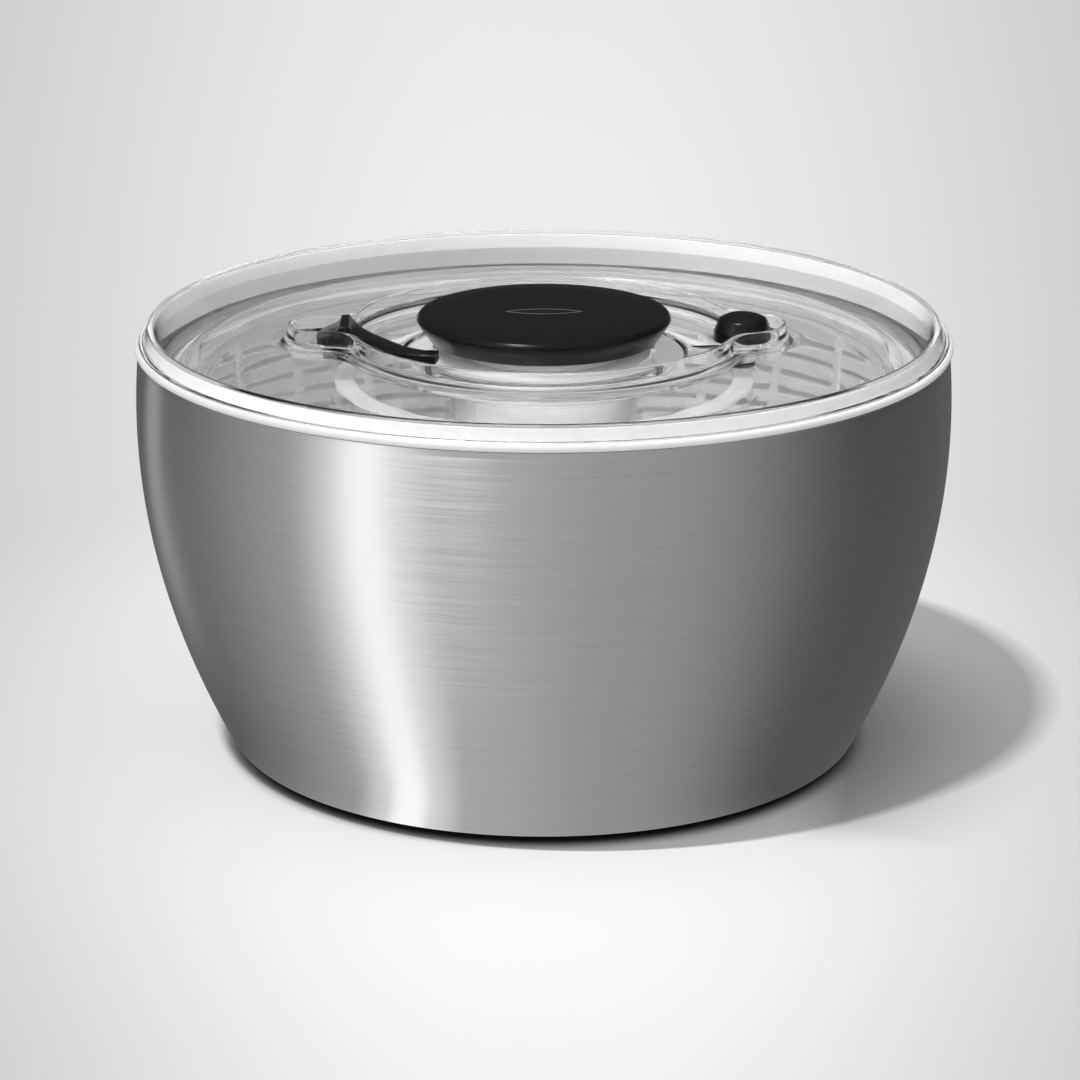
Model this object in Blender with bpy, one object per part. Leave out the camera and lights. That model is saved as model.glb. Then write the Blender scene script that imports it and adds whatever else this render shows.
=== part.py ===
"""Salad spinner: a steel bowl, a clear lid with a pump mechanism, and a basket that spins.

Lengths below are millimetres, and `new_object` turns them into metres. Z is up, and z = 0 is
the surface that the bowl stands on. The spinner's own axis is the Z axis. The brake button is
on the +X side of the knob and the slide lock is on the -X side.
"""

import math

import bmesh
import bpy
from mathutils import Vector

MM = 0.001
GAP = 0.3  # clearance between pieces that touch

# Bowl: one pressed steel shell, widest a little below its rim.
STEEL_BOTTOM = 2.0
BOWL_TOP = 135.1
BOWL_WIDEST_R = 133.4
BOWL_WIDEST_Z = 112.5
BOWL_CURVE = 0.002375  # radius lost for each square millimetre below or above the widest point
STEEL_T = 0.8
PIVOT_TOP = 9.0

# Lid.
LID_TOP = 142.7
SKIRT_BOTTOM = 137.5
FLOOR_R = 64.5  # outer radius of the tray wall
TRAY_FLOOR = 132.2
TRAY_UNDER = 130.4
TRAY_TOP = 140.9
BOSS_UNDER = 126.5
LID_HOLE_R = 36.5
SCREW_R = 41.0
SCREW_ANGLES = (90, 210, 330)

# Pump.
KNOB_TOP = 144.6
KNOB_BOTTOM = 137.5
CORE_R = 26.4
CORE_BOTTOM = 97.2
SPINDLE_LEAD = 40.0
SPINDLE_SIDE = 7.6
BAR_BOTTOM = 98.1
NUT_SIDE = 8.5
HOUSING_FLOOR = 92.5

# Brake and lock.
BRAKE_X = 65.0
BUTTON_BOTTOM = 135.2
BUTTON_TOP = 143.7
LOCK_X = -68.0
LOCK_Y = -1.5
LOCK_SLOT = (-76.2, -64.0, 2.4)  # outer end, inner end and half width

# Turntable and basket.
DISC_TOP = 120.9
CUP_R = 32.8
CUP_UNDER = 84.2
BASKET_TOP = 124.0
BASKET_FLOOR = 12.0
BASKET_T = 1.8
RIBS = 24
RIB_DEG = 3.0
FIRST_RIB_DEG = 1.5


# ---------------------------------------------------------------- scene and materials

def clear_scene():
    for item in list(bpy.data.objects):
        bpy.data.objects.remove(item, do_unlink=True)


def material(name, colour, roughness, metallic=0.0, transmission=0.0):
    mat = bpy.data.materials.new(name)
    mat.use_nodes = True
    shader = mat.node_tree.nodes["Principled BSDF"]
    shader.inputs["Base Color"].default_value = (*colour, 1.0)
    shader.inputs["Roughness"].default_value = roughness
    shader.inputs["Metallic"].default_value = metallic
    shader.inputs["Transmission Weight"].default_value = transmission
    return mat


def carrier(name, x=0.0, y=0.0, parent=None):
    """An empty on a moving body's axis, which carries that body's pieces."""
    empty = bpy.data.objects.new(name, None)
    bpy.context.scene.collection.objects.link(empty)
    empty.parent = parent
    start = Vector((x, y, 0.0)) * MM
    if parent:
        start -= parent.matrix_world.translation
    empty.location = start
    bpy.context.view_layer.update()
    return empty


# ---------------------------------------------------------------- mesh building

def new_object(name, bm, mat, parent):
    """Turns a mesh in millimetres, in the parent's frame, into a named object."""
    bmesh.ops.scale(bm, vec=(MM, MM, MM), verts=bm.verts)
    bmesh.ops.recalc_face_normals(bm, faces=bm.faces)
    mesh = bpy.data.meshes.new(name)
    bm.to_mesh(mesh)
    bm.free()
    mesh.shade_smooth()
    mesh.set_sharp_from_angle(angle=math.radians(35))
    item = bpy.data.objects.new(name, mesh)
    bpy.context.scene.collection.objects.link(item)
    item.parent = parent
    if mat:
        mesh.materials.append(mat)
    return item


def loft(rings, closed):
    """Joins rings of equal length. A closed loft is a torus, an open one gets flat ends."""
    bm = bmesh.new()
    rows = [[bm.verts.new(point) for point in ring] for ring in rings]
    pairs = list(zip(rows, rows[1:]))
    if closed:
        pairs.append((rows[-1], rows[0]))
    for low, high in pairs:
        count = len(low)
        for i in range(count):
            j = (i + 1) % count
            bm.faces.new((low[i], low[j], high[j], high[i]))
    if not closed:
        bm.faces.new(list(reversed(rows[0])))
        bm.faces.new(rows[-1])
    return bm


def circle(radius, z, count, start_deg=0.0):
    points = []
    for i in range(count):
        angle = math.radians(start_deg + 360.0 * i / count)
        points.append((radius * math.cos(angle), radius * math.sin(angle), z))
    return points


def turned(name, outline, mat, parent, count=32):
    """Revolves a closed (radius, z) outline. Points at radius 0 merge on the axis."""
    bm = bmesh.new()
    verts = [bm.verts.new((r, 0.0, z)) for r, z in outline]
    edges = [bm.edges.new((a, b)) for a, b in zip(verts, verts[1:])]
    if outline[0][0] > 0.0 or outline[-1][0] > 0.0:
        edges.append(bm.edges.new((verts[-1], verts[0])))
    bmesh.ops.spin(bm, geom=verts + edges, cent=(0, 0, 0), axis=(0, 0, 1),
                   angle=math.tau, steps=count, use_merge=True)
    bmesh.ops.remove_doubles(bm, verts=bm.verts, dist=0.001)
    return new_object(name, bm, mat, parent)


def prism(name, outline, z0, z1, mat, parent):
    """Extrudes a flat outline from z0 to z1."""
    low = [(x, y, z0) for x, y in outline]
    high = [(x, y, z1) for x, y in outline]
    return new_object(name, loft([low, high], closed=False), mat, parent)


def coil(name, radius, wire_r, z0, z1, turns, mat, parent, sides=5, steps=9):
    """A round-wire compression spring between two heights."""
    low = z0 + wire_r
    rise = z1 - z0 - 2.0 * wire_r
    total = int(turns * steps)
    rings = []
    for i in range(total + 1):
        angle = math.tau * turns * i / total
        out = Vector((math.cos(angle), math.sin(angle), 0.0))
        centre = out * radius + Vector((0.0, 0.0, low + rise * i / total))
        ring = []
        for k in range(sides):
            turn = math.tau * k / sides
            ring.append(centre + out * wire_r * math.cos(turn)
                        + Vector((0.0, 0.0, wire_r * math.sin(turn))))
        rings.append(ring)
    return new_object(name, loft(rings, closed=False), mat, parent)


def cut(item, cutter):
    """Takes a cutter's shape out of an item."""
    cutter.hide_render = True
    cutter.display_type = "WIRE"
    step = item.modifiers.new("cut", "BOOLEAN")
    step.operation = "DIFFERENCE"
    step.object = cutter


def join(item, other):
    """Adds another shape to an item, and keeps that shape only as a guide."""
    other.hide_render = True
    other.display_type = "WIRE"
    step = item.modifiers.new("join", "BOOLEAN")
    step.operation = "UNION"
    step.object = other


# ---------------------------------------------------------------- bowl

def bowl_radius(z):
    return BOWL_WIDEST_R - BOWL_CURVE * (z - BOWL_WIDEST_Z) ** 2


def bowl_wall(inset, z0, z1, steps):
    """Points of the bowl's side from z0 up to z1, moved in by an inset."""
    heights = [z0 + (z1 - z0) * i / steps for i in range(steps + 1)]
    return [(bowl_radius(z) - inset, z) for z in heights]


def bowl_corner(radius, inset, steps=3):
    """The round between the bowl's flat bottom and its side."""
    lean = math.atan(2.0 * BOWL_CURVE * (BOWL_WIDEST_Z - STEEL_BOTTOM))
    centre_z = STEEL_BOTTOM + radius
    touch_z = centre_z - radius * math.sin(lean)
    centre_r = bowl_radius(touch_z) - radius * math.cos(lean)
    points = []
    for i in range(steps + 1):
        angle = -math.pi / 2 + (math.pi / 2 - lean) * i / steps
        points.append((centre_r + (radius - inset) * math.cos(angle),
                       centre_z + (radius - inset) * math.sin(angle)))
    return points


def make_bowl(mats):
    body = carrier("bowl_carrier")
    floor = STEEL_BOTTOM + STEEL_T
    outer = bowl_corner(5.0, 0.0) + bowl_wall(0.0, 22.0, BOWL_TOP, 5)
    inner = bowl_corner(5.0, STEEL_T) + bowl_wall(STEEL_T, 22.0, BOWL_TOP, 5)
    under_pivot = [(0.0, PIVOT_TOP - STEEL_T), (2.6, PIVOT_TOP - STEEL_T), (8.3, STEEL_BOTTOM)]
    over_pivot = [(9.0, floor), (3.0, PIVOT_TOP), (0.0, PIVOT_TOP)]
    outline = under_pivot + outer + inner[::-1] + over_pivot
    turned("bowl_shell", outline, mats["steel"], body, count=40)
    ring = [(78.0, 0.0), (95.0, 0.0), (96.0, 0.6), (96.0, STEEL_BOTTOM - GAP),
            (77.0, STEEL_BOTTOM - GAP), (77.0, 0.6)]
    turned("base_ring", ring, mats["rubber"], body)
    return body


# ---------------------------------------------------------------- lid

def blend(a, b, width):
    """The smaller of two distances, rounded where they meet."""
    h = max(width - abs(a - b), 0.0) / width
    return min(a, b) - h * h * width * 0.25


def tray_distance(x, y):
    """Distance outside the tray: a circle with an ear for the lock and one for the button."""
    main = math.hypot(x, y) - FLOOR_R
    lock_x = min(max(x, -72.5), -50.0)
    lock_ear = math.hypot(x - lock_x, y - LOCK_Y) - 11.5
    button_x = min(max(x, 45.0), BRAKE_X)
    button_ear = math.hypot(x - button_x, y) - 14.5
    return blend(main, blend(lock_ear, button_ear, 8.0), 8.0)


def tray_radius(angle, offset):
    """Radius at which the tray's outline, moved out by an offset, crosses an angle."""
    low = 40.0
    high = 100.0
    for _ in range(30):
        middle = (low + high) / 2.0
        if tray_distance(middle * math.cos(angle), middle * math.sin(angle)) < offset:
            low = middle
        else:
            high = middle
    return low


def lid_angles():
    """Directions of the lid's sections, closer together at the two ears."""
    angles = set(range(30, 151, 12)) | set(range(210, 331, 12))
    for centre, steps in ((0.0, (4, 8, 11, 15)), (181.2, (3.5, 6.5, 9, 13))):
        angles.add(centre)
        for step in steps:
            angles |= {centre + step, (centre - step) % 360}
    return [math.radians(a) for a in sorted(angles)]


def round_ring(radius, z):
    return [(radius * math.cos(a), radius * math.sin(a), z) for a in lid_angles()]


def tray_ring(offset, z):
    ring = []
    for angle in lid_angles():
        radius = tray_radius(angle, offset)
        ring.append((radius * math.cos(angle), radius * math.sin(angle), z))
    return ring


def lid_rings():
    """The lid's surface: out along its top, over the rim, and back along its underside."""
    top = [round_ring(31.0, BOSS_UNDER), round_ring(LID_HOLE_R, TRAY_FLOOR),
           tray_ring(-2.4, TRAY_FLOOR), tray_ring(-1.8, 133.4), tray_ring(-1.6, TRAY_TOP - 0.5),
           tray_ring(-0.8, TRAY_TOP), tray_ring(0.0, TRAY_TOP - 0.5), tray_ring(0.4, 136.2)]
    well = [(95.0, 135.3), (113.0, 133.1), (117.5, 131.0), (122.0, 130.4), (124.3, 131.6),
            (127.0, 142.0), (128.0, LID_TOP), (129.1, 142.0), (130.3, 138.6), (131.9, 138.2),
            (132.0, SKIRT_BOTTOM)]
    under = [(128.7, SKIRT_BOTTOM), (127.8, 140.2), (127.0, 140.2), (125.4, 129.8),
             (123.0, 128.5), (116.4, 129.2), (112.4, 131.2), (95.0, 133.4)]
    rings = top + [round_ring(r, z) for r, z in well + under]
    rings += [tray_ring(1.6, 134.2), tray_ring(0.2, 133.6), tray_ring(-0.8, TRAY_UNDER)]
    rings += [round_ring(46.6, TRAY_UNDER), round_ring(46.0, BOSS_UNDER)]
    return rings


def make_lid(mats):
    body = carrier("lid_carrier")
    shell = new_object("lid_shell", loft(lid_rings(), closed=True), mats["clear"], body)
    hole = circle(4.9, 0.0, 20)
    cut(shell, prism("brake_hole", [(x + BRAKE_X, y) for x, y, _ in hole], 129.0, 134.0,
                     None, body))
    outer, inner, half = LOCK_SLOT
    slot = [(outer, LOCK_Y - half), (inner, LOCK_Y - half), (inner, LOCK_Y + half),
            (outer, LOCK_Y + half)]
    cut(shell, prism("lock_slot", slot, 129.0, 134.0, None, body))
    make_gasket(mats, body)
    make_housing(mats, body, shell)
    make_collar(mats, body)
    bush = [(7.2, 92.0), (12.0, 92.0), (12.0, HOUSING_FLOOR - GAP), (9.5, HOUSING_FLOOR - GAP),
            (9.5, 95.8), (7.2, 95.8)]
    turned("spindle_bush", bush, mats["brass"], body, count=16)
    guide = [(4.5, 127.6), (6.0, 127.6), (6.0, TRAY_UNDER - GAP), (4.5, TRAY_UNDER - GAP)]
    turned("brake_guide", guide, mats["white"], carrier("guide_carrier", BRAKE_X, 0.0, body),
           count=20)
    return body


def make_gasket(mats, body):
    """Sealing ring under the skirt, with a lip that goes down inside the bowl's rim."""
    outline = [(128.2, 137.2), (132.8, 137.2), (133.3, 136.7), (133.3, 135.9), (132.8, 135.4),
               (131.0, 135.4), (130.9, 132.0), (130.0, 129.6), (128.2, 129.6)]
    turned("rim_gasket", outline, mats["seal"], body, count=40)


def make_housing(mats, body, shell):
    """The tube that guards the mechanism, and the screws that hold it to the lid."""
    outline = [(9.8, HOUSING_FLOOR), (29.6, HOUSING_FLOOR), (30.2, 93.2), (30.2, 124.2),
               (45.8, 124.2), (45.8, 126.2), (29.1, 126.2), (29.1, HOUSING_FLOOR + 2.0),
               (9.8, HOUSING_FLOOR + 2.0)]
    housing = turned("mechanism_housing", outline, mats["housing"], body, count=24)
    for number, angle in enumerate(SCREW_ANGLES, start=1):
        x = SCREW_R * math.cos(math.radians(angle))
        y = SCREW_R * math.sin(math.radians(angle))
        hole = [(px + x, py + y) for px, py, _ in circle(1.8, 0.0, 12)]
        cut(shell, prism(f"boss_hole_{number}", hole, 125.0, 131.2, None, body))
        cut(housing, prism(f"flange_hole_{number}", hole, 123.0, 127.0, None, body))
        holder = carrier(f"screw_carrier_{number}", x, y, body)
        screw = [(0.0, 122.4), (1.2, 122.4), (2.9, 122.9), (2.9, 123.9), (1.5, 123.9),
                 (1.5, 130.4), (0.8, 130.9), (0.0, 130.9)]
        turned(f"housing_screw_{number}", screw, mats["screw"], holder, count=12)


def make_collar(mats, body):
    """Guide for the pump's tube: a cone that sits in the lid, and a sleeve with notches."""
    count = 48
    rings = []
    for radius, z in ((27.0, 131.6), (35.4, 131.6), (30.7, 126.8), (28.4, 126.6)):
        rings.append(circle(radius, z, count))
    for radius in (28.4, 27.0):
        low = circle(radius, 124.6, count)
        rings.append([(x, y, z + (1.3 if i % 4 in (1, 2) else 0.0))
                      for i, (x, y, z) in enumerate(low)])
    new_object("guide_collar", loft(rings, closed=True), mats["clear"], body)


# ---------------------------------------------------------------- pump and its drive

def square_ring(side, z):
    """Twelve points round a square whose direction follows the spindle's twist."""
    per_side = 3
    twist = math.tau * z / SPINDLE_LEAD
    half = side / 2.0
    corners = [(half, -half), (half, half), (-half, half), (-half, -half)]
    ring = []
    for (x0, y0), (x1, y1) in zip(corners, corners[1:] + corners[:1]):
        for i in range(per_side):
            x = x0 + (x1 - x0) * i / per_side
            y = y0 + (y1 - y0) * i / per_side
            ring.append((x * math.cos(twist) - y * math.sin(twist),
                         x * math.sin(twist) + y * math.cos(twist), z))
    return ring


def journal_ring(radius, z):
    """A circle of 12 points in step with the lowest square of the twisted bar."""
    return circle(radius, z, 12, 360.0 * BAR_BOTTOM / SPINDLE_LEAD - 45.0)


def make_pump(mats, lid):
    body = carrier("pump_carrier", parent=lid)
    cap = [(0.0, KNOB_TOP), (36.0, KNOB_TOP), (40.2, KNOB_TOP - 0.3), (41.8, KNOB_TOP - 1.7),
           (41.2, 141.0), (37.4, KNOB_BOTTOM), (36.6, KNOB_BOTTOM), (36.6, 142.1), (0.0, 142.1)]
    turned("pump_knob", cap, mats["black"], body)
    core = [(0.0, 141.8), (36.0, 141.8), (36.2, 137.6), (28.4, 133.4), (CORE_R, 133.0),
            (CORE_R, 98.8), (28.3, 98.3), (28.3, CORE_BOTTOM), (24.2, CORE_BOTTOM),
            (24.2, 139.5), (11.0, 139.5), (11.0, 98.9), (8.9, 98.9), (8.9, 139.0), (0.0, 139.0)]
    turned("pump_core", core, mats["white"], body, count=24)
    nut = turned("drive_nut", [(0.0, 99.4), (8.5, 99.4), (8.5, 107.4), (0.0, 107.4)],
                 mats["brass"], body, count=24)
    bore = [square_ring(NUT_SIDE, 98.0 + 1.8 * i) for i in range(7)]
    cut(nut, new_object("nut_bore", loft(bore, closed=False), None, body))
    coil("return_spring", 17.5, 0.9, 94.9, 139.1, 6.0, mats["screw"], body)
    return body


def make_drive(mats, lid):
    """The twisted spindle, which turns as the nut travels along it, and its clutch pawls."""
    body = carrier("drive_carrier", parent=lid)
    rings = [journal_ring(4.1, 94.0), journal_ring(4.1, 88.2), journal_ring(14.0, 88.2),
             journal_ring(14.0, 91.7), journal_ring(6.8, 91.7), journal_ring(6.8, 96.1),
             journal_ring(5.9, 96.2), journal_ring(5.9, 97.0), journal_ring(6.6, 97.1),
             journal_ring(6.6, 98.0)]
    rings += [square_ring(SPINDLE_SIDE, BAR_BOTTOM + 3.0 * i) for i in range(14)]
    new_object("drive_spindle", loft(rings, closed=False), mats["screw"], body)
    clip = [(6.2, 96.25), (9.0, 96.25), (9.0, 96.85), (6.2, 96.85)]
    turned("spindle_clip", clip, mats["steel"], body, count=16)
    new_object("clutch_pawls", loft(pawl_rings(), closed=True), mats["white"], body)
    screw = [(0.0, 81.8), (7.4, 81.8), (8.0, 82.4), (8.0, CUP_UNDER - GAP),
             (3.8, CUP_UNDER - GAP), (3.8, 93.0), (3.2, 93.6), (0.0, 93.6)]
    turned("axle_screw", screw, mats["screw"], body, count=16)
    return body


def pawl_rings():
    """A flat ring with three arms, each a rising curve that ends in a tooth."""
    count = 36
    outer = []
    inner = []
    for i in range(count):
        angle = math.tau * i / count
        part = (i % 12) / 12.0
        reach = 12.0 + 10.2 * part ** 1.5
        outer.append((reach * math.cos(angle), reach * math.sin(angle)))
        inner.append((5.2 * math.cos(angle), 5.2 * math.sin(angle)))
    low, high = 86.4, 87.9
    return [[(x, y, z) for x, y in ring]
            for ring, z in ((inner, high), (outer, high), (outer, low), (inner, low))]


def make_turntable(mats, lid):
    body = carrier("turntable_carrier", parent=lid)
    top = [(4.5, 86.0), (31.2, 86.0), (31.2, DISC_TOP), (72.0, DISC_TOP), (108.0, 124.2),
           (113.0, 126.6), (119.0, 126.8), (119.8, 126.2), (119.8, 124.8), (116.3, 124.4)]
    lip = [(116.1, 119.4), (114.6, 119.4), (112.0, 124.0), (108.0, 122.4)]
    under = [(72.0, DISC_TOP - 1.8), (CUP_R, DISC_TOP - 1.8), (CUP_R, 85.4), (31.6, CUP_UNDER),
             (4.5, CUP_UNDER)]
    turned("turntable_disc", top + lip + under, mats["clear"], body, count=36)
    ring = [(61.8, DISC_TOP + GAP), (68.7, DISC_TOP + GAP), (68.7, 122.0), (68.3, 122.2),
            (62.2, 122.2), (61.8, 122.0)]
    turned("brake_ring", ring, mats["seal"], body, count=36)
    new_object("ratchet_ring", loft(ratchet_rings(), closed=True), mats["white"], body)
    return body


def ratchet_rings(teeth=18):
    """A ring with saw teeth inside, which the pawls drive in one direction."""
    count = teeth * 2
    inner = []
    for i in range(count):
        radius = 23.0 if i % 2 == 0 else 26.0
        angle = math.tau * (i - (0.35 if i % 2 == 0 else 0.0)) / count
        inner.append((radius * math.cos(angle), radius * math.sin(angle)))
    outer = [(x, y) for x, y, _ in circle(30.8, 0.0, count)]
    low, high = 86.3, 90.0
    return [[(x, y, z) for x, y in ring]
            for ring, z in ((inner, high), (outer, high), (outer, low), (inner, low))]


# ---------------------------------------------------------------- basket

def basket_profile():
    """The basket's boss over the pivot, its underside, its corner, its side and its rim."""
    pivot = [(0.0, 16.8), (8.8, 16.8), (8.8, BASKET_FLOOR)]
    floor = [(30.0, BASKET_FLOOR), (62.0, BASKET_FLOOR), (88.0, BASKET_FLOOR)]
    corner = [(96.0, 14.2), (101.5, 20.0)]
    side = [(basket_radius(z), z) for z in (28.0, 66.0, 71.0, 110.0, 120.8)]
    rim = [(120.4, 121.6), (120.4, BASKET_TOP)]
    return pivot + floor + corner + side + rim


def basket_radius(z):
    """The basket's side follows the bowl's, 13 to 15 mm inside it."""
    return bowl_radius(z) - 14.6 + 0.012 * (z - 28.0)


def make_basket(mats):
    """Ribs and slots: a grid of wide and narrow columns with the slots' faces left out."""
    seat = carrier("basket_seat_carrier")
    cup = [(0.0, 9.4), (3.7, 9.3), (7.2, 5.6), (8.4, 5.6), (8.4, 16.2), (7.9, 16.5), (0.0, 16.5)]
    turned("pivot_cup", cup, mats["white"], seat, count=24)
    body = carrier("basket_carrier", parent=seat)
    profile = basket_profile()
    bm = bmesh.new()
    centre = bm.verts.new((0.0, 0.0, profile[0][1]))
    angles = []
    for i in range(RIBS):
        middle = FIRST_RIB_DEG + 360.0 * i / RIBS
        angles += [math.radians(middle - RIB_DEG / 2.0), math.radians(middle + RIB_DEG / 2.0)]
    rows = [[bm.verts.new((r * math.cos(a), r * math.sin(a), z)) for a in angles]
            for r, z in profile[1:]]
    count = len(angles)
    slot_rows = {3, 7, 9}  # between the floor's rings, and the lower and upper part of the side
    for i in range(count):
        j = (i + 1) % count
        bm.faces.new((centre, rows[0][j], rows[0][i]))
        for k, (low, high) in enumerate(zip(rows, rows[1:])):
            if k in slot_rows and i % 2:
                continue
            bm.faces.new((low[i], low[j], high[j], high[i]))
    basket = new_object("basket", bm, mats["basket"], body)
    skin = basket.modifiers.new("thickness", "SOLIDIFY")
    skin.thickness = BASKET_T * MM
    skin.offset = -1.0
    skin.use_even_offset = True
    return body


# ---------------------------------------------------------------- brake and lock

def make_brake(mats, lid):
    body = carrier("brake_carrier", BRAKE_X, 0.0, lid)
    dome = [(0.0, BUTTON_TOP), (4.5, BUTTON_TOP - 0.2), (7.0, BUTTON_TOP - 1.2),
            (8.8, BUTTON_TOP - 3.6), (9.6, BUTTON_TOP - 6.4), (9.7, BUTTON_BOTTOM),
            (8.2, BUTTON_BOTTOM), (8.0, 138.0), (6.9, 141.4), (0.0, 141.4)]
    turned("brake_button", dome, mats["black"], body, count=20)
    plunger = [(0.0, 126.9), (4.0, 126.9), (4.0, 140.6), (3.6, 141.1), (0.0, 141.1)]
    turned("brake_plunger", plunger, mats["white"], body, count=20)
    pad = [(0.0, 125.2), (3.8, 125.2), (4.1, 125.5), (4.1, 126.6), (0.0, 126.6)]
    turned("brake_pad", pad, mats["rubber"], body, count=20)
    coil("brake_spring", 5.8, 0.45, TRAY_FLOOR + 0.3, 141.1, 3.5, mats["screw"], body)
    return body


def lock_sections():
    """Stations along the slide lock: its front edge, its back edge and the height of its top."""
    pad = [((-74.2, -4.5), (-74.2, 1.5), 136.2), ((-73.0, -8.0), (-73.0, 5.0), 136.9),
           ((-71.0, -9.6), (-71.0, 6.6), 137.3), ((-68.5, -10.0), (-68.5, 7.0), 138.0)]
    ridge = [((-66.4, -10.0), (-66.4, 7.0), 140.0), ((-65.5, -10.0), (-65.5, 7.0), 142.0),
             ((-64.2, -10.0), (-64.2, 7.0), 142.0), ((-63.2, -10.0), (-62.8, 6.4), 139.8)]
    arm = [((-61.0, -10.4), (-60.0, 3.4), 138.6), ((-57.2, -12.6), (-56.2, -3.2), 138.6),
           ((-54.4, -16.8), (-52.4, -9.6), 138.7), ((-51.8, -21.8), (-48.4, -15.6), 138.7),
           ((-48.4, -26.2), (-44.9, -20.6), 138.7), ((-44.4, -29.8), (-41.4, -24.0), 138.7),
           ((-39.8, -31.8), (-37.8, -26.0), 138.6), ((-33.4, -32.4), (-32.6, -27.2), 138.5)]
    return pad + ridge + arm


def make_lock(mats, lid):
    """Thumb piece that slides outwards, with a curved arm that reaches to the knob."""
    body = carrier("lock_carrier", LOCK_X, LOCK_Y, lid)
    rings = []
    for front, back, top in lock_sections():
        low = TRAY_FLOOR + 0.5 if front[0] < -58.0 else 135.4
        width = Vector(back) - Vector(front)
        ring = []
        for share, z in ((0.0, low), (1.0, low), (1.0, top - 0.6), (0.95, top), (0.05, top),
                         (0.0, top - 0.6)):
            x, y = Vector(front) + width * share
            ring.append((x - LOCK_X, y - LOCK_Y, z))
        rings.append(ring)
    slider = new_object("lock_slider", loft(rings, closed=False), mats["black"], body)
    stem = [(-3.4, -2.0), (3.4, -2.0), (3.4, 2.0), (-3.4, 2.0)]
    join(slider, prism("lock_stem", stem, 128.4, 134.0, None, body))
    clip = [(-5.0, -4.6), (5.0, -4.6), (5.0, 4.6), (-5.0, 4.6)]
    plate = prism("lock_clip", clip, 128.6, TRAY_UNDER - GAP, mats["white"], body)
    hole = [(-3.7, -2.3), (3.7, -2.3), (3.7, 2.3), (-3.7, 2.3)]
    cut(plate, prism("clip_hole", hole, 127.0, 132.0, None, body))
    return body


# ---------------------------------------------------------------- assembly

def make_materials():
    return {
        "steel": material("brushed_steel", (0.55, 0.55, 0.56), 0.32, metallic=1.0),
        "clear": material("clear_plastic", (0.93, 0.94, 0.95), 0.06, transmission=0.9),
        "basket": material("frosted_plastic", (0.86, 0.87, 0.88), 0.3, transmission=0.6),
        "white": material("white_plastic", (0.86, 0.86, 0.85), 0.3),
        "housing": material("milky_plastic", (0.8, 0.81, 0.82), 0.28, transmission=0.4),
        "seal": material("pale_seal", (0.82, 0.83, 0.83), 0.45),
        "black": material("black_soft_plastic", (0.012, 0.012, 0.013), 0.38),
        "rubber": material("dark_rubber", (0.03, 0.03, 0.03), 0.7),
        "brass": material("bearing_plastic", (0.75, 0.73, 0.68), 0.4),
        "screw": material("spring_steel", (0.5, 0.5, 0.51), 0.3, metallic=1.0),
    }


def main():
    clear_scene()
    mats = make_materials()
    make_bowl(mats)
    make_basket(mats)
    lid = make_lid(mats)
    make_turntable(mats, lid)
    make_pump(mats, lid)
    make_drive(mats, lid)
    make_brake(mats, lid)
    make_lock(mats, lid)
    bpy.context.view_layer.update()


main()
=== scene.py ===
"""Looks of a salad spinner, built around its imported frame.

The steel bowl, the clear lid with its pump, brake and lock, the turntable and the basket are
rebuilt here as fine meshes with procedural materials. Each rides on the body of the node that
it stands for. Lengths in the outlines are millimetres, and MM turns them into metres.
"""

import math

import bmesh
import bpy
from mathutils import Matrix, Vector


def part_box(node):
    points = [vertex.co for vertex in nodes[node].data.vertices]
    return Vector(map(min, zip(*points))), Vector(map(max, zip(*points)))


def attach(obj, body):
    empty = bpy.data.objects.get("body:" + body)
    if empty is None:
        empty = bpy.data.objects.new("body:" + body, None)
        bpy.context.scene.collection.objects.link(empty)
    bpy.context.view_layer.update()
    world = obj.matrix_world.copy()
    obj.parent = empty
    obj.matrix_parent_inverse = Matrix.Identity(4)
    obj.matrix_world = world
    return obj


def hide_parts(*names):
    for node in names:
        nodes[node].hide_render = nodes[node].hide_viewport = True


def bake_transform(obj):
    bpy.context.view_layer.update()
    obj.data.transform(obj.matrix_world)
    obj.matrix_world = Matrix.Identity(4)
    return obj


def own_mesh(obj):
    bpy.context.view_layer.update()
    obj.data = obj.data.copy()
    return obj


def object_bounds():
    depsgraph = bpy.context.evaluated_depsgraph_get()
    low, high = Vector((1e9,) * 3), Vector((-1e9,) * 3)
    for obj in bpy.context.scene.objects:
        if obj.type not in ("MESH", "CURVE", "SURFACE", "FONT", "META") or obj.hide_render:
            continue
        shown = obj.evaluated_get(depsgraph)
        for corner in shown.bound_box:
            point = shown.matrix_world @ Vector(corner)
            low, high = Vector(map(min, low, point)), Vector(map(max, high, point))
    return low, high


MM = 0.001
ON_AXIS = 1e-6  # a smaller radius counts as a point
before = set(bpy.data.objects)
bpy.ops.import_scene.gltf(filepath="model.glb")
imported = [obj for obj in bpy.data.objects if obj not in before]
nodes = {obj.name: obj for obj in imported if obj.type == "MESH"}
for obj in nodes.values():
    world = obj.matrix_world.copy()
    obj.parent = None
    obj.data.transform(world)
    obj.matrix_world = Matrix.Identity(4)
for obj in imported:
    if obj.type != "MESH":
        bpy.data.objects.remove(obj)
cad_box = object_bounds()


def top_of(node):
    """Height of a node's top in millimetres."""
    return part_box(node)[1].z / MM


def bottom_of(node):
    """Height of a node's underside in millimetres."""
    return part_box(node)[0].z / MM


# Bowl
BOWL_TOP = top_of("bowl_shell")
STEEL_BOTTOM = bottom_of("bowl_shell")
STEEL_T = 0.8
BOWL_WIDEST_R = cad_box[1].x / MM
BOWL_WIDEST_Z = 112.5
BOWL_CURVE = 0.002375
PIVOT_TOP = 9.0
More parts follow.
